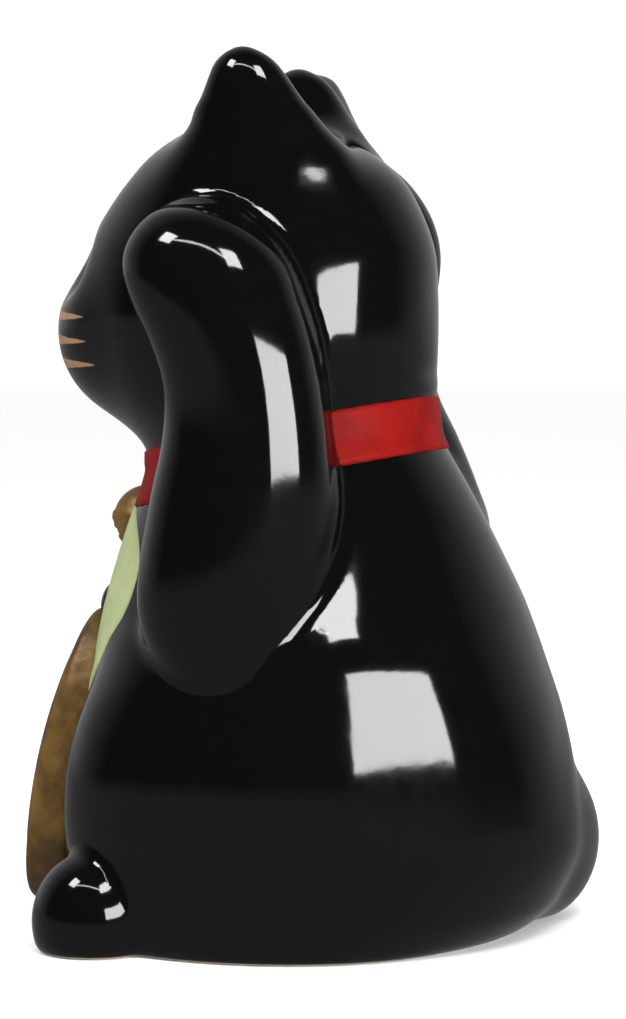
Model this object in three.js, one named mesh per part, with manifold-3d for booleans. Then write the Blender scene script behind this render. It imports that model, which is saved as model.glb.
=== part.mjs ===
// Beckoning cat coin bank, in millimetres. The cat faces -Y, its left side is +X, and it stands on Z = 0.
import * as THREE from 'three';
import { mergeVertices } from 'three/addons/utils/BufferGeometryUtils.js';
import Module from 'manifold-3d';

const wasm = await Module();
wasm.setup();

// Driving sizes.
const bodyHalfWidth = 70;
const bodyHeight = 152;
const headHalfWidth = 48;
const earHeight = 54.3;
const armThickness = 40;
const wall = 4.2;
const gap = 0.3;
const neckTilt = 11;
const neckHoleRadius = 27;
const slotLength = 30;
const slotWidth = 4.6;
const slotBehind = 9;
const stopperRadius = 17;
const stopperDepth = 9;
const stopperLip = 2.4;
const lipThickness = 2.6;
const stopperRecess = 1.2;
const floorThickness = 8.4;
const collarHeight = 15;
const collarProud = 2.2;
const bibProud = 2.4;
const bibHalfWidth = 41;
const bellRadius = 9.7;
const kobanLength = 85;
const kobanWidth = 46;
const kobanThickness = 12;
const kobanDome = 6.4;
const kobanLean = 13;
const footHalfWidth = 17;
const tailHalfWidth = 24;

// The stations below are for a body of this half width and height, and a head of this half width.
const drawnBody = { halfWidth: 70, height: 152 };
const drawnHead = { halfWidth: 48, neck: 136, crown: 222.6, earFoot: 186, earTop: 240.3 };
const wide = bodyHalfWidth / drawnBody.halfWidth;
const tall = bodyHeight / drawnBody.height;
const headWide = headHalfWidth / drawnHead.halfWidth;
const neckHeight = drawnHead.neck * tall;
const headLift = neckHeight - drawnHead.neck;
const neckMiddleY = -6;

// Stations of the trunk: height, front Y, back Y, half width. The first and last are the poles.
const trunkStations = [
  [-6, 2, 2, 0],
  [-4, -40, 42, 51],
  [0, -54, 56.5, 61],
  [6, -58.5, 65.5, 64],
  [12, -60.5, 70, 65.4],
  [24, -62, 74.6, 66.8],
  [40, -62, 73.2, 67],
  [58, -60.5, 69.6, 66.8],
  [75, -59, 64, 65.8],
  [84, -57.6, 60.8, 63],
  [92, -56, 57.7, 58.4],
  [108, -51.5, 50, 50],
  [121, -47, 43.2, 45.5],
  [133, -44, 36.4, 41],
  [143, -41, 32, 36],
  [149, -32, 24, 26],
  [152, -6, -6, 0],
];
// Stations of the head without its ears and muzzle.
const headStations = [
  [124, -14, -14, 0],
  [127, -36, 14, 26],
  [132, -46, 27, 35],
  [140, -54, 32.6, 42],
  [150, -61, 34, 46],
  [162, -65, 34.6, 48],
  [174, -66.5, 34.6, 47.2],
  [186, -64, 33.8, 44.8],
  [197, -58, 30, 41.2],
  [206, -51.5, 24.6, 37],
  [213, -45, 16.2, 31],
  [219, -36, 5, 21.5],
  [221.8, -27, -6, 11.5],
  [222.6, -17, -17, 0],
];
// Stations of what lies to one side: height, front Y, back Y, middle X, half thickness.
const earStations = [
  [186, -8, -8, 19, 0],
  [190, -20, 2, 20, 8],
  [197, -27, 8, 21.5, 11],
  [205, -30, 13, 23.6, 12.4],
  [212, -28.4, 13, 25.4, 12],
  [223, -25, 5.6, 27.8, 10],
  [231, -22, 0.6, 29.3, 8],
  [237, -18.8, -4.4, 30, 5.2],
  [240.3, -12, -12, 30.4, 0],
];
const thighStations = [
  [-8, -14, -14, 36, 0],
  [-5, -40, 18, 37, 21],
  [0, -49, 30, 38, 27.6],
  [8, -53.5, 36, 39, 29],
  [20, -56.6, 39, 39.6, 29.8],
  [34, -58, 39.6, 39.8, 30.2],
  [48, -57, 37, 39.4, 29.8],
  [61, -53, 31, 38, 28],
  [72, -45, 22, 36, 24],
  [81, -34, 10, 33.5, 15],
  [86, -12, -12, 32, 0],
];
const leftArmStations = [
  [66, -9, -9, 49, 0],
  [68.5, -19, 2, 50, 11.5],
  [74, -28, 8, 51, 17],
  [86, -33.6, 12.5, 51.2, 19.4],
  [100, -34, 15.4, 51, 20],
  [119, -31, 17.2, 50.6, 19.2],
  [134, -27.8, 16.6, 50.6, 18.4],
  [148, -27.3, 14.8, 51, 17.8],
  [160, -31, 12.4, 51.2, 17.6],
  [171, -36.2, 9, 51, 17.4],
  [181, -38.9, 5, 50.4, 16.2],
  [189, -36.5, -2, 49.4, 13.6],
  [195, -30.5, -11.5, 48, 8],
  [197, -22, -22, 45, 0],
];
const rightArmStations = [
  [78, 12, 12, 34, 0],
  [84, -6, 28, 36, 12],
  [95, -16, 39, 38, 17],
  [108, -23, 42.2, 40, 19.5],
  [121, -26.5, 37.6, 43, 20],
  [134, -28, 31.5, 46.5, 19.6],
  [147, -28.5, 25, 48.5, 18.6],
  [160, -29, 23.2, 49.5, 18],
  [174, -30.5, 24.6, 50, 17.6],
  [187, -33, 25.8, 50, 17.4],
  [198, -35.5, 23, 50, 17.2],
  [208, -37.3, 16.2, 50, 17],
  [217, -38, 6, 50, 16],
  [226, -36, 0.4, 50, 14.5],
  [234, -30.5, -3.4, 50, 11],
  [239, -24, -7, 50, 6],
  [240.6, -14.5, -14.5, 50, 0],
];

const solidOf = (geometry) => {
  const bare = geometry.clone();
  bare.deleteAttribute('normal');
  bare.deleteAttribute('uv');
  const merged = mergeVertices(bare, 1e-4);
  const mesh = new wasm.Mesh({
    numProp: 3,
    vertProperties: Float32Array.from(merged.attributes.position.array),
    triVerts: Uint32Array.from(merged.index.array),
  });
  mesh.merge();
  return new wasm.Manifold(mesh);
};

const meshOf = (name, solid, color, finish) => {
  const out = solid.getMesh();
  const geometry = new THREE.BufferGeometry();
  geometry.setAttribute('position', new THREE.BufferAttribute(Float32Array.from(out.vertProperties), 3));
  geometry.setIndex(new THREE.BufferAttribute(Uint32Array.from(out.triVerts), 1));
  geometry.computeVertexNormals();
  const mesh = new THREE.Mesh(geometry, new THREE.MeshStandardMaterial({ color, ...finish }));
  mesh.name = name;
  return mesh;
};

// A point between stations, on a smooth curve through all of them. Past a pole the curve comes back.
const between = (stations, at) => {
  const last = stations.length - 1;
  const i = Math.min(Math.floor(at), last - 1);
  const t = at - i;
  const turned = (ring) => [ring[0], ring[2], ring[1], ...ring.slice(3, -1), -ring.at(-1)];
  const before = i > 0 ? stations[i - 1] : turned(stations[1]);
  const after = i + 2 <= last ? stations[i + 2] : turned(stations[last - 1]);
  const start = stations[i];
  const end = stations[i + 1];
  return start.map((v, k) => {
    const b = end[k] - before[k];
    const c = 2 * before[k] - 5 * v + 4 * end[k] - after[k];
    const d = -before[k] + 3 * v - 3 * end[k] + after[k];
    return 0.5 * (2 * v + b * t + c * t * t + d * t * t * t);
  });
};

// A turned unit drum, drawn out so that each of its rings fits the station at its height.
const loft = (stations, inset, segments, ringsPer) => {
  const rings = (stations.length - 1) * ringsPer;
  const profile = [];
  for (let k = 0; k <= rings; k += 1) {
    profile.push(new THREE.Vector2(k === 0 || k === rings ? 0 : 1, k));
  }
  const geometry = new THREE.LatheGeometry(profile, segments);
  const places = geometry.attributes.position;
  const lowest = stations[0][0];
  const highest = stations.at(-1)[0];
  const middle = (lowest + highest) / 2;
  const shrink = 1 - (2 * inset) / (highest - lowest);
  for (let k = 0; k < places.count; k += 1) {
    const at = between(stations, places.getY(k) / ringsPer);
    const centreX = at.length > 4 ? at[3] : 0;
    const depth = Math.max((at[2] - at[1]) / 2 - inset, 0.4);
    const width = Math.max(at.at(-1) - inset, 0.4);
    const x = centreX + width * places.getX(k);
    const y = (at[1] + at[2]) / 2 - depth * places.getZ(k);
    places.setXYZ(k, x, y, middle + (at[0] - middle) * shrink);
  }
  return solidOf(geometry);
};

const ellipsoid = (centre, radii, segments, rings) => {
  const geometry = new THREE.SphereGeometry(1, segments, rings);
  geometry.rotateX(Math.PI / 2);
  geometry.scale(...radii);
  geometry.translate(...centre);
  return solidOf(geometry);
};

const drum = (radius, low, high, y = 0) => {
  const geometry = new THREE.CylinderGeometry(radius, radius, high - low, 40);
  geometry.rotateX(Math.PI / 2);
  geometry.translate(0, y, (low + high) / 2);
  return solidOf(geometry);
};

const below = (level) => {
  const geometry = new THREE.BoxGeometry(500, 500, 200);
  geometry.translate(0, 0, level - 100);
  return solidOf(geometry);
};

// Everything above or below the tilted plane of the neck joint.
const neckSide = (above, lift) => {
  const geometry = new THREE.BoxGeometry(500, 500, 500);
  geometry.translate(0, 0, above ? 250 + lift : lift - 250);
  geometry.rotateX(THREE.MathUtils.degToRad(neckTilt));
  geometry.translate(0, neckMiddleY, neckHeight);
  return solidOf(geometry);
};

const placedTrunk = () => trunkStations.map(([z, front, back, half]) => [z * tall, front, back, half * wide]);

const trunk = (inset) => {
  const coarse = inset > 1;
  const core = loft(placedTrunk(), inset, coarse ? 24 : 40, coarse ? 1 : 2);
  const thigh = (side) => {
    const placed = thighStations.map(([z, front, back, x, half]) =>
      [z * tall, front, back, side * x * wide, half * wide]);
    return loft(placed, inset, 24, coarse ? 1 : 2);
  };
  return core.add(thigh(-1)).add(thigh(1));
};

const ear = (side, inset) => {
  const rise = earHeight / (drawnHead.earTop - drawnHead.earFoot);
  const placed = earStations.map(([z, front, back, x, half]) => {
    const height = drawnHead.earFoot + (z - drawnHead.earFoot) * rise + headLift;
    return [height, front, back, side * x * headWide, half];
  });
  return loft(placed, inset, 24, 2);
};

const skull = (inset) => {
  const coarse = inset > 1;
  const placed = headStations.map(([z, front, back, half]) => [z + headLift, front, back, half * headWide]);
  const muzzleRadii = [26 * headWide - inset, 17.2 - inset, 19 - inset];
  const muzzle = ellipsoid([0, -54, 163 + headLift], muzzleRadii, 24, 16);
  return loft(placed, inset, coarse ? 24 : 40, coarse ? 1 : 2).add(muzzle);
};

const neckHole = () => drum(neckHoleRadius, neckHeight - 26, neckHeight + 29, neckMiddleY);

const lipSeat = stopperRecess + lipThickness + gap;

const bodySolid = () => {
  const outer = trunk(0).subtract(below(0)).intersect(neckSide(false, 0));
  const cavity = trunk(wall).subtract(below(floorThickness));
  const seat = drum(stopperRadius + gap, -5, floorThickness + 20);
  const mouth = drum(stopperRadius + stopperLip + gap, -5, lipSeat);
  return outer.subtract(cavity).subtract(neckHole()).subtract(seat).subtract(mouth);
};

const headSolid = () => {
  const neck = loft(placedTrunk(), 0, 40, 2);
  const outer = skull(0).add(ear(-1, 0)).add(ear(1, 0)).add(neck).intersect(neckSide(true, gap));
  const cut = new THREE.BoxGeometry(slotLength, slotWidth, 60);
  cut.translate(0, slotBehind, drawnHead.crown + headLift);
  return outer.subtract(skull(wall)).subtract(neckHole()).subtract(solidOf(cut));
};

const placedArm = (stations, side) => {
  const thick = armThickness / 40;
  const atHead = Math.max(wide, headWide);
  return stations.map(([z, front, back, x, half]) => {
    const out = z > drawnHead.neck ? atHead : wide;
    return [z * tall, front, back, side * x * out, half * thick];
  });
};

const armSolid = (stations, side, taken) => {
  const placed = placedArm(stations, side);
  return loft(placed, 0, 28, 2).subtract(loft(placed, wall, 16, 1)).subtract(taken);
};

const footSolid = (side, taken) => {
  const pad = ellipsoid([side * 54.5 * wide, -45.5, 8], [footHalfWidth, 16.8, 18.5], 32, 20);
  return pad.subtract(below(0)).subtract(taken);
};

const tailSolid = (taken) => {
  const stub = ellipsoid([-25, 59.6, 22], [tailHalfWidth, 16.4, 21.5], 32, 20);
  return stub.subtract(below(3)).subtract(taken);
};

// A band around the neck, tilted down to the front like the joint that it covers.
const neckBand = (inner, grow, height) => {
  const half = height / 2;
  const soft = 1.2;
  const outer = 45.4 + collarProud + grow;
  const profile = [
    [inner, -half], [outer - soft, -half], [outer, -half + soft],
    [outer, half - soft], [outer - soft, half], [inner, half], [inner, -half],
  ];
  const geometry = new THREE.LatheGeometry(profile.map(([r, h]) => new THREE.Vector2(r, h)), 64);
  geometry.rotateX(Math.PI / 2);
  geometry.scale(Math.max(wide, headWide), 0.905, 1);
  geometry.rotateX(THREE.MathUtils.degToRad(neckTilt));
  geometry.translate(0, neckMiddleY, neckHeight - 5.5);
  return solidOf(geometry);
};

// The bib lies on the chest inside an oval outline.
const bibSolid = (taken) => {
  const skin = trunk(-bibProud).subtract(below(50 * tall));
  const outline = new THREE.CylinderGeometry(1, 1, 90, 48);
  outline.scale(bibHalfWidth * wide, 1, 31 * tall);
  outline.translate(0, -69, 87 * tall);
  return skin.intersect(solidOf(outline)).subtract(taken);
};

const bellCentre = [0, -48.6, 111.2 * tall];

const bellSolid = (taken) => {
  const ball = ellipsoid(bellCentre, [bellRadius, bellRadius, bellRadius], 28, 20);
  const inner = bellRadius - 2;
  const hollow = ellipsoid(bellCentre, [inner, inner, inner], 20, 14);
  const slit = new THREE.BoxGeometry(bellRadius * 1.3, bellRadius, 1.6);
  slit.translate(bellCentre[0], bellCentre[1] - bellRadius, bellCentre[2] - 3);
  return ball.subtract(hollow).subtract(solidOf(slit)).subtract(taken);
};

// The plaque is a thick oval with a domed front. It stands between the hind feet and leans on the belly.
const kobanLow = 3.4;
const kobanFront = 3.3;
const leanAngle = THREE.MathUtils.degToRad(kobanLean);
const kobanMiddle = [0, -59.3 - 0.1125 * kobanLength, kobanLow + (kobanLength / 2) * Math.cos(leanAngle)];

const kobanOval = (grow) => {
  const radius = kobanWidth / 2 + grow;
  const profile = [];
  const steps = 7;
  for (let k = 0; k < steps; k += 1) {
    const share = k / steps;
    profile.push([radius * share, -kobanFront - grow - kobanDome * (1 - share * share)]);
  }
  const back = kobanThickness - kobanFront + grow;
  profile.push([radius - 0.8, -kobanFront - grow], [radius, -kobanFront - grow + 0.8]);
  profile.push([radius, back - 2.2], [radius - 2.2, back], [0, back]);
  const geometry = new THREE.LatheGeometry(profile.map(([r, h]) => new THREE.Vector2(r, h)), 48);
  geometry.scale(1, 1, (kobanLength / 2 + grow) / radius);
  return solidOf(geometry).rotate([-kobanLean, 0, 0]).translate(kobanMiddle);
};

const kobanSolid = (taken) => kobanOval(0).subtract(below(1)).subtract(taken);

const lugSolid = (taken) => {
  const top = kobanLow + kobanLength * Math.cos(leanAngle);
  const centre = [0, -57, top + 0.7];
  return ellipsoid(centre, [7, 7.4, 7], 24, 16).subtract(taken);
};

const stopperSolid = () => {
  const lip = stopperRadius + stopperLip;
  const shoulder = stopperRecess + lipThickness;
  const top = stopperRecess + stopperDepth;
  const profile = [
    [0, stopperRecess], [lip - 0.6, stopperRecess], [lip, stopperRecess + 0.6], [lip, shoulder],
    [stopperRadius, shoulder], [stopperRadius, top - 1], [stopperRadius - 1, top], [0, top],
  ];
  const geometry = new THREE.LatheGeometry(profile.map(([r, h]) => new THREE.Vector2(r, h)), 40);
  geometry.rotateX(Math.PI / 2);
  return solidOf(geometry);
};

const build = () => {
  const black = 0x0b0c0c;
  const glaze = { roughness: 0.12 };
  const gold = { roughness: 0.35, metalness: 0.4 };
  const paint = { roughness: 0.4 };
  const group = new THREE.Group();
  const put = (name, solid, color, finish) => group.add(meshOf(name, solid, color, finish));
  const grownTrunk = trunk(-gap);
  const grownHead = skull(-gap).add(ear(-1, -gap)).add(ear(1, -gap));
  const stack = grownTrunk.add(grownHead);
  const grownBand = neckBand(20, gap, collarHeight + 2 * gap);
  const grownArm = (stations, side) => loft(placedArm(stations, side), -gap, 28, 2);
  const arms = grownArm(leftArmStations, 1).add(grownArm(rightArmStations, -1));
  const besideArms = grownTrunk.add(arms);
  const onBib = trunk(-bibProud - gap).subtract(below(45 * tall)).add(grownTrunk);
  const grownBell = ellipsoid(bellCentre, [bellRadius + gap, bellRadius + gap, bellRadius + gap], 28, 20);
  const grownKoban = kobanOval(gap);
  put('body_shell', bodySolid(), black, glaze);
  put('head_shell', headSolid(), black, glaze);
  put('left_arm', armSolid(leftArmStations, 1, stack.add(grownBand)), black, glaze);
  put('right_arm', armSolid(rightArmStations, -1, stack.add(grownBand)), black, glaze);
  put('left_foot', footSolid(1, besideArms), black, glaze);
  put('right_foot', footSolid(-1, besideArms), black, glaze);
  put('tail', tailSolid(besideArms), black, glaze);
  put('collar', neckBand(34, 0, collarHeight).subtract(stack), 0xc4231d, paint);
  put('bib', bibSolid(besideArms.add(grownBand)), 0xb4c373, paint);
  put('bell', bellSolid(onBib.add(grownBand).add(grownHead)), 0x7a5c2a, gold);
  put('koban', kobanSolid(onBib.add(grownBell)), 0x967329, gold);
  put('koban_lug', lugSolid(onBib.add(grownKoban).add(grownBell)), black, glaze);
  put('stopper', stopperSolid(), 0x2a2a2a, { roughness: 0.8 });
  const box = new THREE.Box3().setFromObject(group);
  const middle = box.getCenter(new THREE.Vector3());
  group.children.forEach((mesh) => mesh.geometry.translate(-middle.x, -middle.y, -box.min.z));
  return group;
};

export default build();
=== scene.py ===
import math
import bpy
import numpy as np
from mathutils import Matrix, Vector


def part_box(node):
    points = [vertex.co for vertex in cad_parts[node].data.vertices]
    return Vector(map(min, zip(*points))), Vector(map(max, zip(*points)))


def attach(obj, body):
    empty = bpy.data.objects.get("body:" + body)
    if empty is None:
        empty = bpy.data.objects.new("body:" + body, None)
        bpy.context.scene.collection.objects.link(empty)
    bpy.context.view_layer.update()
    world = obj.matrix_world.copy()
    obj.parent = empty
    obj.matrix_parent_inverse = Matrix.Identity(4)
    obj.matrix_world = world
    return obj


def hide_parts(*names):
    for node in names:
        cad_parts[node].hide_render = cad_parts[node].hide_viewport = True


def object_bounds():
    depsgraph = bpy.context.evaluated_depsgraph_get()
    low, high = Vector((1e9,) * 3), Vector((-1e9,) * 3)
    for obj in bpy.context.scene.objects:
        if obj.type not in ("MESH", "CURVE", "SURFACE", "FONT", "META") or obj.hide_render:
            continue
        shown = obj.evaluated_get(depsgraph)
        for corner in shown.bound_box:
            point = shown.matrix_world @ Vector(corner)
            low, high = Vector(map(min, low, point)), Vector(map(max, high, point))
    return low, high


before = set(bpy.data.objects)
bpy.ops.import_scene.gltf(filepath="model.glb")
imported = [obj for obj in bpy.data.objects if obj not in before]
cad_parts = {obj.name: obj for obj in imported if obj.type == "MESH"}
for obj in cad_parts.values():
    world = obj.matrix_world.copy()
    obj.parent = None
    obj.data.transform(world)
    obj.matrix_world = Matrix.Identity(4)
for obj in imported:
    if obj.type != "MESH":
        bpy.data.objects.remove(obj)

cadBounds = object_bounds()
print("frame loaded")

# Shapes are worked out in millimetres about the stopper's upright axis, then moved to the frame.
stopperLow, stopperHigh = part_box("stopper")
midY = 500.0 * (stopperLow[1] + stopperHigh[1])


def smoothRows(stations, steps=24):
    rows = [list(s) if len(s) == 5 else [s[0], s[1], s[2], 0.0, s[3]] for s in stations]
    turned = lambda ring: [ring[0], ring[2], ring[1], ring[3], -ring[4]]  # past a pole the curve comes back
    p = np.array([turned(rows[1])] + rows + [turned(rows[-2])], dtype=float)
    out = []
    for i in range(1, len(p) - 2):
        t = np.linspace(0, 1, steps, endpoint=False)[:, None]
        a, b, c, d = p[i - 1], p[i], p[i + 1], p[i + 2]
        out.append(0.5 * (2 * b + (c - a) * t + (2 * a - 5 * b + 4 * c - d) * t * t
                          + (3 * b - a - 3 * c + d) * t ** 3))
    return np.concatenate(out + [p[-2][None]])


class Grid:  # a block of sample points
    def __init__(self, low, high, step):
        self.step = step
        self.low = np.array(low, dtype=np.float32)
        self.axes = [np.arange(a, b + step, step, dtype=np.float32) for a, b in zip(low, high)]
        self.x = self.axes[0][:, None, None]
        self.y = self.axes[1][None, :, None]
        self.z = self.axes[2][None, None, :]
        self.shape = tuple(len(a) for a in self.axes)

    def distance(self, level):  # turns any smooth level function into millimetres near its surface
        level = np.broadcast_to(level, self.shape).astype(np.float32)
        slopes = np.gradient(level, self.step)
        size = np.sqrt(slopes[0] ** 2 + slopes[1] ** 2 + slopes[2] ** 2)
        return np.clip(level / np.maximum(size, 1e-4), -40, 60).astype(np.float32)

    def loft(self, stations, grow=0.0, side=1.0):
        rows = smoothRows(stations)
        z = rows[:, 0]
        keep = np.concatenate([[True], np.diff(z) > 1e-5])
        z, rows = z[keep], rows[keep]
        deep = (rows[:, 2] - rows[:, 1]) / 2
        wide = rows[:, 4]
        inner = slice(2, -2)
        zz = self.axes[2]
        ratio = np.interp(zz, z[inner], (wide / np.maximum(deep, 1e-6))[inner])
        area = np.interp(zz, z, np.maximum(deep, 0) * np.maximum(wide, 0))
        lowSlope = (deep[2] * wide[2]) / (z[2] - z[0])
        topSlope = (deep[-3] * wide[-3]) / (z[-1] - z[-3])
        area = np.where(zz < z[0], (zz - z[0]) * lowSlope, area)
        area = np.where(zz > z[-1], (z[-1] - zz) * topSlope, area)
        midX = side * np.interp(zz, z, rows[:, 3])
        midYs = np.interp(zz, z, (rows[:, 1] + rows[:, 2]) / 2)
        ratio, area, midX, midYs = (v.astype(np.float32)[None, None, :] for v in (ratio, area, midX, midYs))
        return self.distance((self.x - midX) ** 2 / ratio + (self.y - midYs) ** 2 * ratio - area) - grow

    def oval(self, centre, radii, power=2.0, turn=0.0):
        x, y, z = self.x - centre[0], self.y - centre[1], self.z - centre[2]
        c, s = math.cos(turn), math.sin(turn)
        y, z = y * c + z * s, z * c - y * s
        total = np.abs(x / radii[0]) ** power + np.abs(y / radii[1]) ** power + np.abs(z / radii[2]) ** power
        return self.distance(total ** (1 / power) - 1)


def blendIn(a, b, k):  # union with a fillet of about k
    h = np.maximum(k - np.abs(a - b), 0) / k
    return np.minimum(a, b) - h * h * k / 4


def cutOut(a, b, k):  # a without b, with the edge eased by about k
    h = np.maximum(k - np.abs(a + b), 0) / k
    return np.maximum(a, -b) + h * h * k / 4


def keepIn(a, b, k):
    return cutOut(a, -b, k)


def sampleAt(grid, values, points):  # straight-line reading of grid values at loose points
    q = (points - grid.low) / grid.step
    top = np.array(grid.shape) - 2
    base = np.clip(np.floor(q).astype(int), 0, top)
    t = np.clip(q - base, 0, 1)
    total = 0
    for i in (0, 1):
        for j in (0, 1):
            for k in (0, 1):
                share = (np.abs(1 - i - t[:, 0]) * np.abs(1 - j - t[:, 1]) * np.abs(1 - k - t[:, 2]))
                total = total + share * values[base[:, 0] + i, base[:, 1] + j, base[:, 2] + k]
    return total


def eased(field):  # rounds off what is finer than the glaze
    for axis in range(3):
        a = np.moveaxis(field, axis, 0)
        b = a.copy()
        b[1:-1] = 0.25 * a[:-2] + 0.5 * a[1:-1] + 0.25 * a[2:]
        field = np.moveaxis(b, 0, axis)
    return field


def evenNormals(quads, normals, rounds=3):
    for _ in range(rounds):
        total = np.zeros_like(normals)
        ringSum = normals[quads].sum(axis=1)
        for corner in range(4):
            for d in range(3):
                total[:, d] += np.bincount(quads[:, corner], weights=ringSum[:, d], minlength=len(normals))
        normals = total / np.maximum(np.linalg.norm(total, axis=1), 1e-6)[:, None]
    return normals


def skinOf(grid, field):  # closed quad skin where the field crosses zero, with its smooth normals
    inside = field < 0
    cells = tuple(n - 1 for n in grid.shape)
    total = np.zeros(cells + (3,), dtype=np.float32)
    count = np.zeros(cells, dtype=np.float32)
    corner = lambda i, j, k: (slice(i, i + cells[0]), slice(j, j + cells[1]), slice(k, k + cells[2]))
    for axis in range(3):
        for u in (0, 1):
            for v in (0, 1):
                start = [u, v]
                start.insert(axis, 0)
                end = list(start)
                end[axis] = 1
                a, b = field[corner(*start)], field[corner(*end)]
                crossed = (a < 0) != (b < 0)
                t = np.where(crossed, a / np.where(crossed, a - b, 1), 0)
                for d in range(3):
                    total[..., d] += np.where(crossed, t if d == axis else start[d], 0)
                count += crossed
    active = count > 0
    ids = np.full(cells, -1, dtype=np.int64)
    ids[active] = np.arange(active.sum())
    where = np.argwhere(active)
    points = (where + total[active] / count[active][:, None]) * grid.step + grid.low
    quads = []
    for axis in range(3):
        low = [slice(1, -1)] * 3
        low[axis] = slice(0, -1)
        high = list(low)
        high[axis] = slice(1, None)
        a, b = inside[tuple(low)], inside[tuple(high)]
        spots = np.argwhere(a != b) + np.array([0 if d == axis else 1 for d in range(3)])
        leaving = a[a != b]
        u, v = [d for d in range(3) if d != axis]
        ring = []
        for du, dv in ((-1, -1), (0, -1), (0, 0), (-1, 0)):
            c = spots.copy()
            c[:, u] += du
            c[:, v] += dv
            ring.append(ids[c[:, 0], c[:, 1], c[:, 2]])
        quad = np.stack(ring, axis=1)
        turn = leaving if axis != 1 else ~leaving
        quad[~turn] = quad[~turn][:, ::-1]
        quads.append(quad)
    quads = np.concatenate(quads)
    slopes = np.gradient(field, grid.step)
    for _ in range(4):
        slope = np.stack([sampleAt(grid, g, points) for g in slopes], axis=1)
        size = np.maximum((slope ** 2).sum(axis=1), 0.04)
        move = slope * (sampleAt(grid, field, points) / size)[:, None]
        far = np.maximum(np.linalg.norm(move, axis=1) / (0.4 * grid.step), 1)
        points = points - move / far[:, None]
    slope = np.stack([sampleAt(grid, g, points) for g in slopes], axis=1)
    normals = slope / np.maximum(np.linalg.norm(slope, axis=1), 1e-6)[:, None]
    return points, quads, evenNormals(quads, normals)


def addPiece(name, points, quads, normals, material, node, body="cat", slotName=None):
    used, fresh = np.unique(quads, return_inverse=True)
    fresh = fresh.reshape(quads.shape)
    mesh = bpy.data.meshes.new(name)
    places = (points[used] + np.array([0, midY, 0])) / 1000.0
    mesh.vertices.add(len(places))
    mesh.vertices.foreach_set("co", places.astype(np.float32).ravel())
    mesh.loops.add(fresh.size)
    mesh.loops.foreach_set("vertex_index", fresh.ravel().astype(np.int32))
    mesh.polygons.add(len(fresh))
    mesh.polygons.foreach_set("loop_start", (np.arange(len(fresh)) * 4).astype(np.int32))
    mesh.polygons.foreach_set("use_smooth", np.ones(len(fresh), dtype=bool))
    mesh.update(calc_edges=True)
    mesh.validate()
    if normals is not None:
        mesh.normals_split_custom_set_from_vertices(normals[used].astype(np.float32))
    mesh.materials.append(material)
    obj = bpy.data.objects.new(name, mesh)
    bpy.context.collection.objects.link(obj)
    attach(obj, body)
    if node:
        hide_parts(node)
    return obj


class Wire:  # one socket, with arithmetic
    def __init__(self, board, socket):
        self.board = board
        self.socket = socket

    def math(self, operation, *others, swap=False):
        values = [others[0], self] if swap else [self, *others]
        return self.board.add("ShaderNodeMath", {"operation": operation}, dict(enumerate(values)))

    def __add__(self, other): return self.math("ADD", other)
    def __radd__(self, other): return self.math("ADD", other)
    def __sub__(self, other): return self.math("SUBTRACT", other)
    def __rsub__(self, other): return self.math("SUBTRACT", other, swap=True)
    def __mul__(self, other): return self.math("MULTIPLY", other)
    def __rmul__(self, other): return self.math("MULTIPLY", other)
    def __truediv__(self, other): return self.math("DIVIDE", other)
    def __rtruediv__(self, other): return self.math("DIVIDE", other, swap=True)
    def __pow__(self, other): return self.math("POWER", other)
    def __abs__(self): return self.math("ABSOLUTE")
    def low(self, other): return self.math("MINIMUM", other)
    def high(self, other): return self.math("MAXIMUM", other)
    def sqrt(self): return self.math("SQRT")


class Board:  # a node tree and the one way to add nodes to it
    def __init__(self, owner):
        owner.use_nodes = True
        self.tree = owner.node_tree
        self.tree.nodes.clear()

    def add(self, kind, settings, inputs, output=0):
        node = self.tree.nodes.new(kind)
        for name, value in settings.items():
            setattr(node, name, value)
        for place, value in inputs.items():
            if isinstance(value, Wire):
                self.tree.links.new(value.socket, node.inputs[place])
            else:
                node.inputs[place].default_value = (*value, 1.0) if isinstance(value, tuple) else value
        return Wire(self, node.outputs[output]) if node.outputs else None

    def split(self, vector):  # the three numbers of a vector
        first = self.add("ShaderNodeSeparateXYZ", {}, {0: vector})
        return [Wire(self, socket) for socket in first.socket.node.outputs]


class Finish(Board):  # a material, with its place on the piece in millimetres
    def __init__(self, name):
        self.material = bpy.data.materials.new(name)
        super().__init__(self.material)
        self.place = self.add("ShaderNodeTexCoord", {}, {}, "Object")
        self.x, self.y, self.z = (way * 1000.0 for way in self.split(self.place))

    def noise(self, scale, detail=3.0, rough=0.5):
        return self.add("ShaderNodeTexNoise", {}, {"Vector": self.place, "Scale": scale,
                                                  "Detail": detail, "Roughness": rough})

    def ease(self, value, low, high):  # 0 at low and 1 at high
        return self.add("ShaderNodeMapRange", {"interpolation_type": "SMOOTHSTEP", "clamp": True},
                        {"Value": value, "From Min": low, "From Max": high})

    def blend(self, share, a, b):  # sockets 6 and 7 are the colours of a Mix node
        return self.add("ShaderNodeMix", {"data_type": "RGBA"}, {0: share, 6: a, 7: b}, 2)

    def bump(self, height, distance, strength=1.0):
        return self.add("ShaderNodeBump", {}, {"Height": height, "Distance": distance, "Strength": strength})

    def feed(self, **values):
        values = {name.replace("_", " "): value for name, value in values.items()}
        surface = self.add("ShaderNodeBsdfPrincipled", {}, values)
        self.add("ShaderNodeOutputMaterial", {}, {"Surface": surface})
        return self.material


# The ceramic cat, in millimetres.

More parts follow.
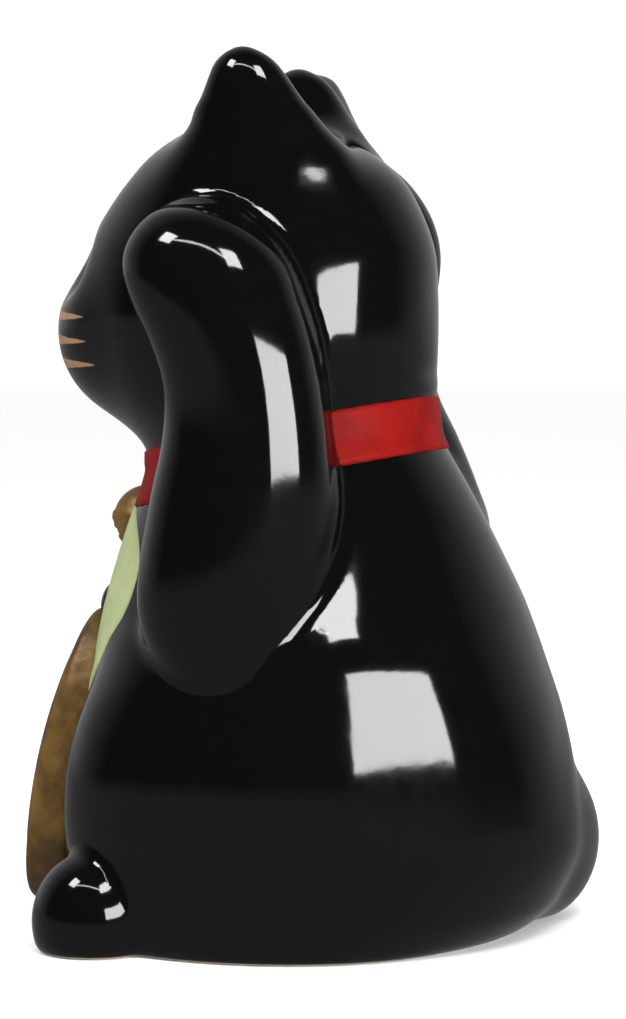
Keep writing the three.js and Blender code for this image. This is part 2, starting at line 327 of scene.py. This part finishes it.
trunkShape = {
    "stations": [  # height, front, back, half width
        [-6, 2, 2, 0], [-4, -40, 42, 51], [0, -54, 56.5, 61], [6, -58.5, 65.5, 64], [12, -60.5, 70, 65.4],
        [24, -62, 74.6, 66.8], [40, -62, 73.2, 67], [58, -60.5, 69.6, 66.8], [75, -59, 64.0, 65.8],
        [84, -57.6, 60.8, 63], [92, -56, 57.7, 58.4], [108, -51.5, 50.0, 50], [121, -47, 43.2, 45.5],
        [133, -44, 36.4, 41], [143, -41, 32, 36], [149, -32, 24, 26], [152, -6, -6, 0],
    ],
    "thigh": [  # height, front, back, middle, half thickness
        [-8, -14, -14, 36, 0], [-5, -40, 18, 37, 21], [0, -49, 30, 38, 27.6], [8, -53.5, 36, 39, 29],
        [20, -56.6, 39, 39.6, 29.8], [34, -58, 39.6, 39.8, 30.2], [48, -57, 37, 39.4, 29.8],
        [61, -53, 31, 38, 28], [72, -45, 22, 36, 24], [81, -34, 10, 33.5, 15], [86, -12, -12, 32, 0],
    ],
    "thighFillet": 12.0,
    "wall": 4.2,
    "floor": 8.4,
    "mouth": 20.3,  # radii of the stopper's hole
    "seat": 17.3,
    "lipSeat": 4.1,
    "holeTop": 30.0,
    "holeEdge": 1.2,
    "baseEdge": 1.5,
    "liningReach": 0.6,  # skin this near to the hollow belongs to trunk or head
}
headShape = {
    "stations": [
        [124, -14, -14, 0], [127, -36, 14, 26], [132, -46, 27, 35], [140, -54, 32.6, 42], [150, -61, 34, 46],
        [162, -65, 34.6, 48], [174, -66.5, 34.6, 47.2], [186, -64, 33.8, 44.8], [197, -58, 30, 41.2],
        [206, -51.5, 24.6, 37], [213, -45, 16.2, 31], [219, -36, 5, 21.5], [221.8, -27, -6, 11.5],
        [222.6, -17, -17, 0],
    ],
    "muzzle": [[0, -54, 163], [26, 17.2, 19]],
    "muzzleFillet": 12.0,
    "neckTilt": 11.0,
    "neckHeight": 136.0,
    "neckPivot": -6.0,
    "neckFillet": 6.0,
    "slot": [30.0, 4.6, 9.0],  # length, width, place behind the middle
    "slotBottom": 195.0,
    "slotEdge": 1.5,
    "ear": [
        [186, -8, -8, 19, 0], [190, -20, 2, 20, 8], [197, -27, 8, 21.5, 11], [205, -30, 13, 23.6, 12.4],
        [212, -28.4, 13, 25.4, 12], [223, -25, 5.6, 27.8, 10], [231, -22, 0.6, 29.3, 8],
        [237, -18.8, -4.4, 30, 5.2], [240.3, -12, -12, 30.4, 0],
    ],
    "earFillet": 11.0,
    "socket": [[16.5, -66.5, 184], [10, 6, 8.5]],
    "socketEase": 7.0,
}
armShape = {
    "left": [
        [66, -9, -9, 49, 0], [68.5, -19, 2, 50, 11.5], [74, -28, 8, 51, 17], [86, -33.6, 12.5, 51.2, 19.4],
        [100, -34, 15.4, 51, 20], [119, -31, 17.2, 50.6, 19.2], [134, -27.8, 16.6, 50.6, 18.4],
        [148, -27.3, 14.8, 51, 17.8], [160, -31, 12.4, 51.2, 17.6], [171, -36.2, 9, 51, 17.4],
        [181, -38.9, 5, 50.4, 16.2], [189, -36.5, -2, 49.4, 13.6], [195, -30.5, -11.5, 48, 8],
        [197, -22, -22, 45, 0],
    ],
    "leftPad": [
        [61.5, -9, -9, 46, 0], [64, -17, 4.6, 47, 11], [70, -25, 11, 48, 16.6], [84, -30, 15.4, 49, 19],
        [103, -31, 17.8, 49, 20], [119, -30, 19.4, 49, 20], [134, -27, 18.8, 49, 19],
        [148, -27, 17, 49, 18], [160, -30.5, 14.6, 49, 17.6], [171, -35.6, 11.2, 49, 17.4],
        [181, -38.4, 7.2, 49, 16.4], [190, -36, 0.5, 49, 14], [197.5, -30, -9.5, 49, 8.4],
        [199.6, -20, -20, 49, 0],
    ],
    "right": [
        [78, 12, 12, -34, 0], [84, -6, 28, -36, 12], [95, -16, 39, -38, 17], [108, -23, 42.2, -40, 19.5],
        [121, -26.5, 37.6, -43, 20], [134, -28, 31.5, -46.5, 19.6], [147, -28.5, 25, -48.5, 18.6],
        [160, -29, 23.2, -49.5, 18], [174, -30.5, 24.6, -50, 17.6], [187, -33, 25.8, -50, 17.4],
        [198, -35.5, 23, -50, 17.2], [208, -37.3, 16.2, -50, 17], [217, -38, 6, -50, 16],
        [226, -36, 0.4, -50, 14.5], [234, -30.5, -3.4, -50, 11], [239, -24, -7, -50, 6],
        [240.6, -14.5, -14.5, -50, 0],
    ],
    "fillet": 2.4,
    "rootGrow": 2.0,
    "rootReach": 6.0,
    "rootEase": 3.0,
}
footShape = {"centre": [54.5, -45.5, 8], "radii": [17, 16.8, 18.5], "fillet": 1.8}
tailShape = {"centre": [-25, 59.6, 22], "radii": [24, 16.2, 21.5], "fillet": 8.0}



def layTrunk(g):
    field = g.loft(trunkShape["stations"])
    for side in (1, -1):
        field = blendIn(field, g.loft(trunkShape["thigh"], side=side), trunkShape["thighFillet"])
    return field


def layHead(g):
    field = g.loft(headShape["stations"])
    return blendIn(field, g.oval(*headShape["muzzle"]), headShape["muzzleFillet"])


low, high = [1000 * np.array(v) for v in cadBounds]
low[1] -= midY
high[1] -= midY
step = 1.25
grid = Grid(low - 3, high + 3, step)
trunk = layTrunk(grid)
head = layHead(grid)
(socketX, socketY, socketZ), socketRadii = headShape["socket"]
for side in (-1, 1):
    head = blendIn(head, grid.loft(headShape["ear"], side=side), headShape["earFillet"])
    eyeSocket = grid.oval([side * socketX, socketY, socketZ], socketRadii)
    head = cutOut(head, eyeSocket, headShape["socketEase"])
leftArm = grid.loft(armShape["left"])
rightArm = grid.loft(armShape["right"])
footX, footY, footZ = footShape["centre"]
leftFoot = grid.oval([footX, footY, footZ], footShape["radii"])
rightFoot = grid.oval([-footX, footY, footZ], footShape["radii"])
tail = grid.oval(tailShape["centre"], tailShape["radii"])
print("ceramic parts laid out")

core = blendIn(trunk, head, headShape["neckFillet"])
outer = core
for arm in (grid.loft(armShape["leftPad"]), rightArm - armShape["rootGrow"]):  # the low pad behind each arm
    pad = keepIn(arm, core - armShape["rootReach"], armShape["rootEase"])
    outer = blendIn(outer, pad, armShape["fillet"])
for limb, shape in ((leftArm, armShape), (rightArm, armShape), (tail, tailShape),
                    (leftFoot, footShape), (rightFoot, footShape)):
    outer = blendIn(outer, limb, shape["fillet"])
outer = keepIn(outer, -grid.z + 0 * outer, trunkShape["baseEdge"])
radius = np.sqrt(grid.x ** 2 + grid.y ** 2)
cavity = core + trunkShape["wall"]
cavity = np.maximum(cavity, trunkShape["floor"] - grid.z)
seat = np.maximum(radius - trunkShape["seat"], grid.z - trunkShape["holeTop"])
mouth = np.maximum(radius - trunkShape["mouth"], grid.z - trunkShape["lipSeat"])
slotLength, slotWidth, slotY = headShape["slot"]
slot = np.maximum(np.abs(grid.x) - slotLength / 2, np.abs(grid.y - slotY) - slotWidth / 2)
slot = np.maximum(slot, headShape["slotBottom"] - grid.z)
solid = np.maximum(outer, -cavity)
solid = cutOut(solid, np.broadcast_to(slot, grid.shape), headShape["slotEdge"])
for hole in (seat, mouth):
    solid = cutOut(solid, np.broadcast_to(hole, grid.shape), trunkShape["holeEdge"])
points, quads, normals = skinOf(grid, eased(solid))
print("ceramic skin", len(quads))

# Each cast part takes the stretch of skin that is nearest to it.
middle = points[quads].mean(axis=1)
tilt = math.radians(headShape["neckTilt"])
aboveNeck = ((middle[:, 2] - headShape["neckHeight"]) * math.cos(tilt)
             - (middle[:, 1] - headShape["neckPivot"]) * math.sin(tilt))
castParts = [  # node, name of its skin, field
    ["head_shell", "glazedHead", head], ["body_shell", "glazedBody", trunk],
    ["left_arm", "glazedLeftArm", leftArm], ["right_arm", "glazedRightArm", rightArm],
    ["left_foot", "glazedLeftFoot", leftFoot], ["right_foot", "glazedRightFoot", rightFoot],
    ["tail", "glazedTail", tail],
]
near = np.stack([sampleAt(grid, part[2], middle) for part in castParts], axis=1)
headOrTrunk = near[:, :2].min(axis=1)
outOfReach = 99.0
near[:, 0] = np.where(aboveNeck > 0, headOrTrunk, outOfReach)
near[:, 1] = np.where(aboveNeck > 0, outOfReach, headOrTrunk)
owner = near.argmin(axis=1)
lining = sampleAt(grid, cavity, middle) < trunkShape["liningReach"]
owner = np.where(lining, np.where(aboveNeck > 0, 0, 1), owner)

faceShape = {
    "whiskers": [[168.6, 11.5, 30.0], [161.9, 11.5, 30.0], [155.4, 12.5, 29.5]],  # height, inner end, outer end
    "whiskerHalf": 1.75,
    "eye": [13.0, 183.0, 6.0, 4.4],  # out, up, half length, half height
    "nose": [171.0, 3.6, 2.2],  # up, half length, half height
    "smile": [4.6, 168.2],  # radius of each half, height
}


def facePaint(f, shade):  # hand-painted features on the front of the head
    out = abs(f.x)
    brush = f.noise(420.0, 2.0)
    forward = f.ease(f.y, midY - 24.0, midY - 28.0)
    strokes = 0.0 * out
    for height, inner, outer in faceShape["whiskers"]:
        along = (out - inner) / (outer - inner)
        taper = faceShape["whiskerHalf"] * (1.0 - along).high(0.0).sqrt()
        taper = taper * f.ease(out, inner - 1.2, inner + 0.4)
        drift = f.z - height + 0.06 * (out - inner)
        strokes = strokes.high(f.ease(taper - abs(drift) + 0.25 * (brush - 0.5), -0.05, 0.3))
    eyeOut, eyeUp, eyeLong, eyeHigh = faceShape["eye"]
    fromEye = (((out - eyeOut) / eyeLong) ** 2 + ((f.z - eyeUp) / eyeHigh) ** 2).sqrt()
    ring = f.ease(abs(fromEye - 1.0), 0.2, 0.12)
    iris = f.ease(fromEye, 0.82, 0.72)
    pupil = f.ease(abs(out - eyeOut) / 2.0 + abs(f.z - eyeUp) / 12.0, 1.0, 0.85)
    noseUp, noseLong, noseHigh = faceShape["nose"]
    nose = f.ease((out / noseLong) ** 2 + ((f.z - noseUp) / noseHigh) ** 2, 1.1, 0.9)
    smileRadius, smileUp = faceShape["smile"]
    fromSmile = abs(((out - smileRadius) ** 2 + (f.z - smileUp) ** 2).sqrt() - smileRadius)
    smile = f.ease(fromSmile, 0.75, 0.45) * f.ease(f.z, smileUp + 0.2, smileUp - 0.4)
    gilt = (strokes * (0.82 + 0.3 * brush)).high(ring) * forward
    shade = f.blend(gilt.low(1.0), shade, (0.2, 0.11, 0.055))
    shade = f.blend(iris * forward, shade, (0.62, 0.5, 0.1))
    shade = f.blend(pupil * iris * forward, shade, (0.004, 0.004, 0.004))
    shade = f.blend(nose.high(smile) * forward, shade, (0.55, 0.03, 0.02))
    return (gilt.high(iris).high(nose) * forward).low(1.0), shade


def glazeFinish():
    f = Finish("blackGlaze")
    clay = f.ease(f.z, 0.9, 0.3)
    wave = f.noise(22.0, 2.0)
    fine = f.noise(260.0, 3.0)
    pits = f.add("ShaderNodeTexVoronoi", {}, {"Vector": f.place, "Scale": 60.0})
    pit = f.ease(pits, 0.03, 0.015)
    shade = f.blend(fine, (0.001, 0.001, 0.0011), (0.0017, 0.0017, 0.0017))
    shade = f.blend(clay, shade, (0.42, 0.34, 0.27))
    paint, shade = facePaint(f, shade)
    rough = 0.045 + 0.05 * fine + 0.7 * clay + 0.2 * pit + 0.2 * paint
    height = wave + 0.05 * fine - 0.2 * pit + 0.25 * paint
    return f.feed(Base_Color=shade, Roughness=rough, Normal=f.bump(height, 0.0006, 0.35), IOR=1.42)


glaze = glazeFinish()
for index, (node, name, field) in enumerate(castParts):
    addPiece(name, points, quads[owner == index], normals, glaze, node, slotName="black_glaze")
print("glazed pieces placed")

# The painted trim.

collarShape = {"height": 15.0, "drop": 5.5, "pivot": -6.5}
trimShape = {"proud": 0.7, "depth": 1.5, "edge": 0.8, "armGap": 0.6}  # for the collar and the bib


def collarFinish():
    f = Finish("collarPaint")
    strokes = f.noise(90.0, 4.0, 0.6)
    tone = f.blend(f.ease(strokes, 0.35, 0.7), (0.138, 0.0024, 0.0016), (0.103, 0.0018, 0.0012))
    return f.feed(Base_Color=tone, Roughness=0.42 + 0.15 * strokes, Specular_IOR_Level=0.05,
                  Normal=f.bump(strokes, 0.0004, 0.5))


trimStep = 0.8


def coreOn(g):
    return blendIn(layTrunk(g), layHead(g), headShape["neckFillet"])


def trimSheet(g, outline):  # a thin sheet on the skin, kept inside an outline and clear of the arms
    skin = coreOn(g)
    sheet = np.maximum(skin - trimShape["proud"], -(skin + trimShape["depth"]))
    sheet = keepIn(sheet, outline + 0 * sheet, trimShape["edge"])
    arms = np.minimum(g.loft(armShape["left"]), g.loft(armShape["right"]))
    return np.maximum(sheet, -(arms + trimShape["armGap"]))


bandGrid = Grid([-56, -56, 108], [56, 48, 154], trimStep)
along = ((bandGrid.z - headShape["neckHeight"] + collarShape["drop"]) * math.cos(tilt)
         - (bandGrid.y - collarShape["pivot"]) * math.sin(tilt))
band = trimSheet(bandGrid, np.abs(along) - collarShape["height"] / 2)
addPiece("paintedCollar", *skinOf(bandGrid, band), collarFinish(), "collar", slotName="collar_paint")

bibShape = {"middle": 87.0, "halfWidth": 41.0, "halfHeight": 31.0, "back": -20.0}


def bibFinish():
    f = Finish("bibPaint")
    strokes = f.noise(95.0, 5.0, 0.62)
    tone = f.blend(f.ease(strokes, 0.3, 0.75), (0.28, 0.32, 0.15), (0.22, 0.27, 0.12))
    return f.feed(Base_Color=tone, Roughness=0.34 + 0.15 * strokes, Specular_IOR_Level=0.3,
                  Normal=f.bump(strokes, 0.0004, 0.5))


bibGrid = Grid([-46, -66, 50], [46, -16, 122], trimStep)
outline = np.sqrt((bibGrid.x / bibShape["halfWidth"]) ** 2
                  + ((bibGrid.z - bibShape["middle"]) / bibShape["halfHeight"]) ** 2)
cloth = trimSheet(bibGrid, bibGrid.distance(outline - 1))
cloth = np.maximum(cloth, bibGrid.y - bibShape["back"])
addPiece("paintedBib", *skinOf(bibGrid, cloth), bibFinish(), "bib", slotName="bib_paint")


def goldFinish():
    f = Finish("brushedGold")
    strokes = f.noise(150.0, 5.0, 0.65)
    patches = f.noise(45.0, 4.0)
    dents = f.add("ShaderNodeTexVoronoi", {"feature": "SMOOTH_F1"}, {"Vector": f.place, "Scale": 230.0})
    tone = f.blend(f.ease(strokes, 0.3, 0.7), (0.09, 0.04, 0.004), (0.155, 0.085, 0.012))
    tone = f.blend(f.ease(patches, 0.48, 0.62), tone, (0.06, 0.028, 0.004))
    return f.feed(Base_Color=tone, Roughness=0.34 + 0.2 * strokes, Metallic=0.35,
                  Normal=f.bump(strokes + dents * 1.4, 0.0005, 0.6))


gold = goldFinish()
bellShape = {
    "centre": [0, -47.8, 111.2], "radius": 9.7, "wall": 1.2, "edge": 0.8,
    "beltProud": 0.4, "beltHeight": 1.2, "beltHalf": 1.1,
    "slitDrop": 3.4, "slitHalf": 0.8, "slitReach": 5.0, "slitBack": -49.0,
}
bellGrid = Grid([-11, -60, 99], [11, -36, 124], 0.5)
ball, belt, hollow = (bellGrid.oval(bellShape["centre"], [bellShape["radius"] + grow] * 3)
                      for grow in (0.0, bellShape["beltProud"], -bellShape["wall"]))
height = bellGrid.z - bellShape["centre"][2]
belt = np.maximum(belt, np.abs(height - bellShape["beltHeight"]) - bellShape["beltHalf"])
ball = blendIn(ball, belt, bellShape["edge"])
slit = np.maximum(np.abs(height + bellShape["slitDrop"]) - bellShape["slitHalf"],
                  np.abs(bellGrid.x) - bellShape["slitReach"])
slit = np.maximum(slit, bellGrid.y - bellShape["slitBack"])
ball = cutOut(ball, np.maximum(slit, -hollow), bellShape["edge"])
addPiece("goldBell", *skinOf(bellGrid, ball), gold, "bell", slotName="gold_paint")

kobanShape = {
    "centre": [0, -68.8, 44.6], "length": 85.0, "width": 46.0, "thickness": 12.0, "dome": 6.2, "lean": 13.0,
    "faceLine": 3.0, "edge": 2.5,
    "grooveDepth": 0.7, "grooveAt": 0.86, "grooveHalf": 0.035,  # place and half width as shares of the radius
}
kobanGrid = Grid([-25, -86, 0], [25, -50, 90], 0.7)
lean = math.radians(kobanShape["lean"])
axes = (kobanGrid.x, kobanGrid.y, kobanGrid.z)
fromCentre = [axis - at for axis, at in zip(axes, kobanShape["centre"])]
across = fromCentre[0]
inward = fromCentre[1] * math.cos(lean) - fromCentre[2] * math.sin(lean)
upward = fromCentre[2] * math.cos(lean) + fromCentre[1] * math.sin(lean)
fromMiddle = np.sqrt((2 * across / kobanShape["width"]) ** 2 + (2 * upward / kobanShape["length"]) ** 2)
dome = kobanShape["dome"] * np.maximum(1 - fromMiddle ** 2, 0)
fromGroove = (fromMiddle - kobanShape["grooveAt"]) / kobanShape["grooveHalf"]
groove = kobanShape["grooveDepth"] * np.exp(-fromGroove ** 2)
face = -inward - kobanShape["faceLine"] - dome + groove
back = inward + kobanShape["faceLine"] - kobanShape["thickness"]
plate = keepIn(kobanGrid.distance(fromMiddle - 1), face, kobanShape["edge"])
plate = keepIn(plate, back + 0 * plate, kobanShape["edge"])
addPiece("goldPlaque", *skinOf(kobanGrid, plate), gold, "koban", slotName="gold_paint")

lugShape = {"centre": [0, -57, 86.6], "radii": [7, 4.2, 7]}
lugGrid = Grid([-10, -66, 78], [10, -44, 102], 0.6)
lug = lugGrid.oval(lugShape["centre"], lugShape["radii"])
addPiece("glazedLug", *skinOf(lugGrid, lug), glaze, "koban_lug", slotName="black_glaze")


def rubberFinish():
    f = Finish("stopperRubber")
    dust = f.noise(120.0, 4.0)
    tone = f.blend(dust, (0.02, 0.02, 0.02), (0.05, 0.048, 0.045))
    return f.feed(Base_Color=tone, Roughness=0.6 + 0.2 * dust, Normal=f.bump(dust, 0.0002, 0.4))


stopper = bpy.data.objects["stopper"]
stopper.data.materials.clear()
stopper.data.materials.append(rubberFinish())
print("trim placed")

# Floor, light and camera.

studio = {
    "viewTurn": 104.0,  # degrees from the cat's front towards its left
    "viewDistance": 0.8328, "eyeHeight": 0.149488,
    "filmHeight": 24.0, "lens": 70.6575, "lensShift": -0.124141,
    "floorReach": 60.0, "floorTone": (0.9, 0.9, 0.895),
    "air": 1.16, "nearMirrored": 0.025, "farMirrored": 0.475, "underMirrored": 0.26,
    "lamps": [  # name, direction, width, height, watts
        ["window", (0.588, 0.809, 0.18), 1.0, 0.4, 26], ["rearSpot", (0.809, 0.588, 1.19), 0.34, 0.34, 9],
        ["foreSpot", (0.616, -0.788, 1.19), 0.34, 0.34, 9], ["tube", (0.99, -0.12, 1.35), 1.1, 0.05, 3.5],
    ],
    "lampDistance": 1.4, "lampAim": (0, 0, 0.12),
}
turn = math.radians(studio["viewTurn"])


def floorFinish():
    f = Finish("paleFloor")
    return f.feed(Base_Color=studio["floorTone"], Roughness=0.8)


def addFloor():
    mesh = bpy.data.meshes.new("floor")
    r = studio["floorReach"]
    mesh.from_pydata([(-r, -r, 0), (r, -r, 0), (r, r, 0), (-r, r, 0)], [], [(0, 1, 2, 3)])
    mesh.materials.append(floorFinish())
    floor = bpy.data.objects.new("floor", mesh)
    floor.visible_glossy = False  # the glaze mirrors the studio air instead
    bpy.context.collection.objects.link(floor)


def addLamp(name, direction, width, height, power):
    lamp = bpy.data.lights.new(name, "AREA")
    lamp.shape = "RECTANGLE"
    lamp.size, lamp.size_y, lamp.energy = width, height, power
    obj = bpy.data.objects.new(name, lamp)
    away = Vector(direction).normalized()
    obj.location = Vector(studio["lampAim"]) + away * studio["lampDistance"]
    obj.rotation_euler = away.to_track_quat("Z", "Y").to_euler()
    bpy.context.collection.objects.link(obj)


# Even white air lights the cat. In the glaze it mirrors dark on the near side and paler on the far
# side and below, as a room does.
def addWorld():
    world = bpy.data.worlds.new("studioAir")
    bpy.context.scene.world = world
    board = Board(world)
    place = board.add("ShaderNodeTexCoord", {}, {}, "Generated")
    x, y, z = board.split(place)
    nearness = math.sin(turn) * x - math.cos(turn) * y
    pale = ((-0.05 - nearness) * 1.6).high(0.0).low(1.0)
    under = (0.5 - 12.0 * z).high(0.0).low(1.0)
    room = studio["nearMirrored"] + (studio["farMirrored"] - studio["nearMirrored"]) * pale
    glow = room * (1.0 - under) + studio["underMirrored"] * under
    mirrored = board.add("ShaderNodeLightPath", {}, {}, "Is Glossy Ray")
    strength = studio["air"] - mirrored * (studio["air"] - glow)
    air = board.add("ShaderNodeBackground", {}, {"Color": (1.0, 1.0, 1.0), "Strength": strength})
    board.add("ShaderNodeOutputWorld", {}, {"Surface": air})


def addCamera():
    data = bpy.data.cameras.new("viewCamera")
    data.sensor_fit = "VERTICAL"
    data.sensor_height = studio["filmHeight"]
    data.lens = studio["lens"]
    data.shift_y = studio["lensShift"]
    away = studio["viewDistance"]
    obj = bpy.data.objects.new("viewCamera", data)
    obj.location = (math.sin(turn) * away, -math.cos(turn) * away + midY / 1000, studio["eyeHeight"])
    obj.rotation_euler = (math.pi / 2, 0, turn)
    bpy.context.collection.objects.link(obj)
    bpy.context.scene.camera = obj


addFloor()
addWorld()
for row in studio["lamps"]:
    addLamp(*row)
addCamera()
bpy.context.scene.view_settings.view_transform = "Standard"
